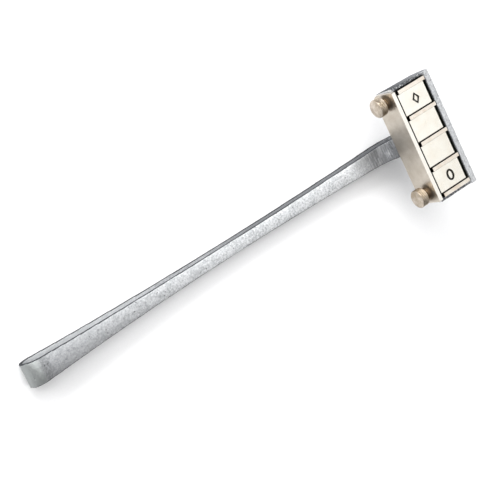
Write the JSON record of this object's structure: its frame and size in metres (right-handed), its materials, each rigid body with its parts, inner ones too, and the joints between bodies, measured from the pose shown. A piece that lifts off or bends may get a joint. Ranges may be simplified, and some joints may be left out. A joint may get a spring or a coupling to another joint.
{
  "type": "stamping tool",
  "caption": "Hammer-like hand stamping tool: one-piece cast handle and head, exchangeable dies between divider bars, closed by a retaining plate with thumb screws.",
  "frame": {"origin": "middle of the bounding box, on the surface that the handle lies on", "axes": "+X along the handle from the grip to the head, +Y towards the end of the head with die 1, +Z out of the striking faces"},
  "size_m": [0.352, 0.0884, 0.0505],
  "materials": {
    "cast_aluminium": "as cast, fine sand texture",
    "die_brass": "nickel plated, lapped flat",
    "divider_brass": "fine ground, bare",
    "satin_nickel": "satin champagne nickel plate",
    "dark_steel": "blackened",
    "screw_steel": "zinc plated"
  },
  "bodies": {
    "casting": {"handle_casting": "cast_aluminium", "carrier_plate": "die_brass", "divider_bar_1": "divider_brass", "divider_bar_2": "divider_brass", "divider_bar_3": "divider_brass", "divider_bar_4": "divider_brass", "divider_bar_5": "divider_brass", "carrier_screw_1": "screw_steel", "carrier_screw_2": "screw_steel", "carrier_screw_3": "screw_steel", "carrier_screw_4": "screw_steel"},
    "plate": {"retaining_plate": "satin_nickel"},
    "die_1_body": {"die_1": "die_brass", "lozenge_mark_1": "dark_steel"},
    "die_2_body": {"die_2": "die_brass"},
    "die_3_body": {"die_3": "die_brass"},
    "die_4_body": {"die_4": "die_brass", "oval_mark_4": "dark_steel"},
    "collar_1": {"screw_collar_1": "satin_nickel"},
    "screw_1": {"thumb_screw_1": "satin_nickel"},
    "collar_2": {"screw_collar_2": "satin_nickel"},
    "screw_2": {"thumb_screw_2": "satin_nickel"}
  },
  "joints": [
    {"name": "plate_slide", "type": "slide", "parent": "casting", "child": "plate", "axis": [-1, 0, 0], "range_m": [0, 0.032]},
    {"name": "die_1_slide", "type": "slide", "parent": "casting", "child": "die_1_body", "axis": [-1, 0, 0], "range_m": [0, 0.0258]},
    {"name": "die_2_slide", "type": "slide", "parent": "casting", "child": "die_2_body", "axis": [-1, 0, 0], "range_m": [0, 0.0258]},
    {"name": "die_3_slide", "type": "slide", "parent": "casting", "child": "die_3_body", "axis": [-1, 0, 0], "range_m": [0, 0.0258]},
    {"name": "die_4_slide", "type": "slide", "parent": "casting", "child": "die_4_body", "axis": [-1, 0, 0], "range_m": [0, 0.0258]},
    {"name": "screw_1_travel", "type": "slide", "parent": "plate", "child": "collar_1", "axis": [-1, 0, 0], "range_m": [0, 0.0122]},
    {"name": "screw_1_turn", "type": "hinge", "parent": "collar_1", "child": "screw_1", "pos_m": [0.1303, 0.0354, 0.0372], "axis": [-1, 0, 0], "range_deg": [0, 5490]},
    {"name": "screw_2_travel", "type": "slide", "parent": "plate", "child": "collar_2", "axis": [-1, 0, 0], "range_m": [0, 0.0122]},
    {"name": "screw_2_turn", "type": "hinge", "parent": "collar_2", "child": "screw_2", "pos_m": [0.1303, -0.0354, 0.0372], "axis": [-1, 0, 0], "range_deg": [0, 5490]}
  ],
  "couplings": [
    {"joint": "die_1_slide", "follows": "plate_slide", "ratio": 0.8},
    {"joint": "die_2_slide", "follows": "plate_slide", "ratio": 0.8},
    {"joint": "die_3_slide", "follows": "plate_slide", "ratio": 0.8},
    {"joint": "die_4_slide", "follows": "plate_slide", "ratio": 0.8},
    {"joint": "screw_1_turn", "follows": "screw_1_travel", "rad_per_m": 7854},
    {"joint": "screw_2_turn", "follows": "screw_2_travel", "rad_per_m": 7854}
  ]
}
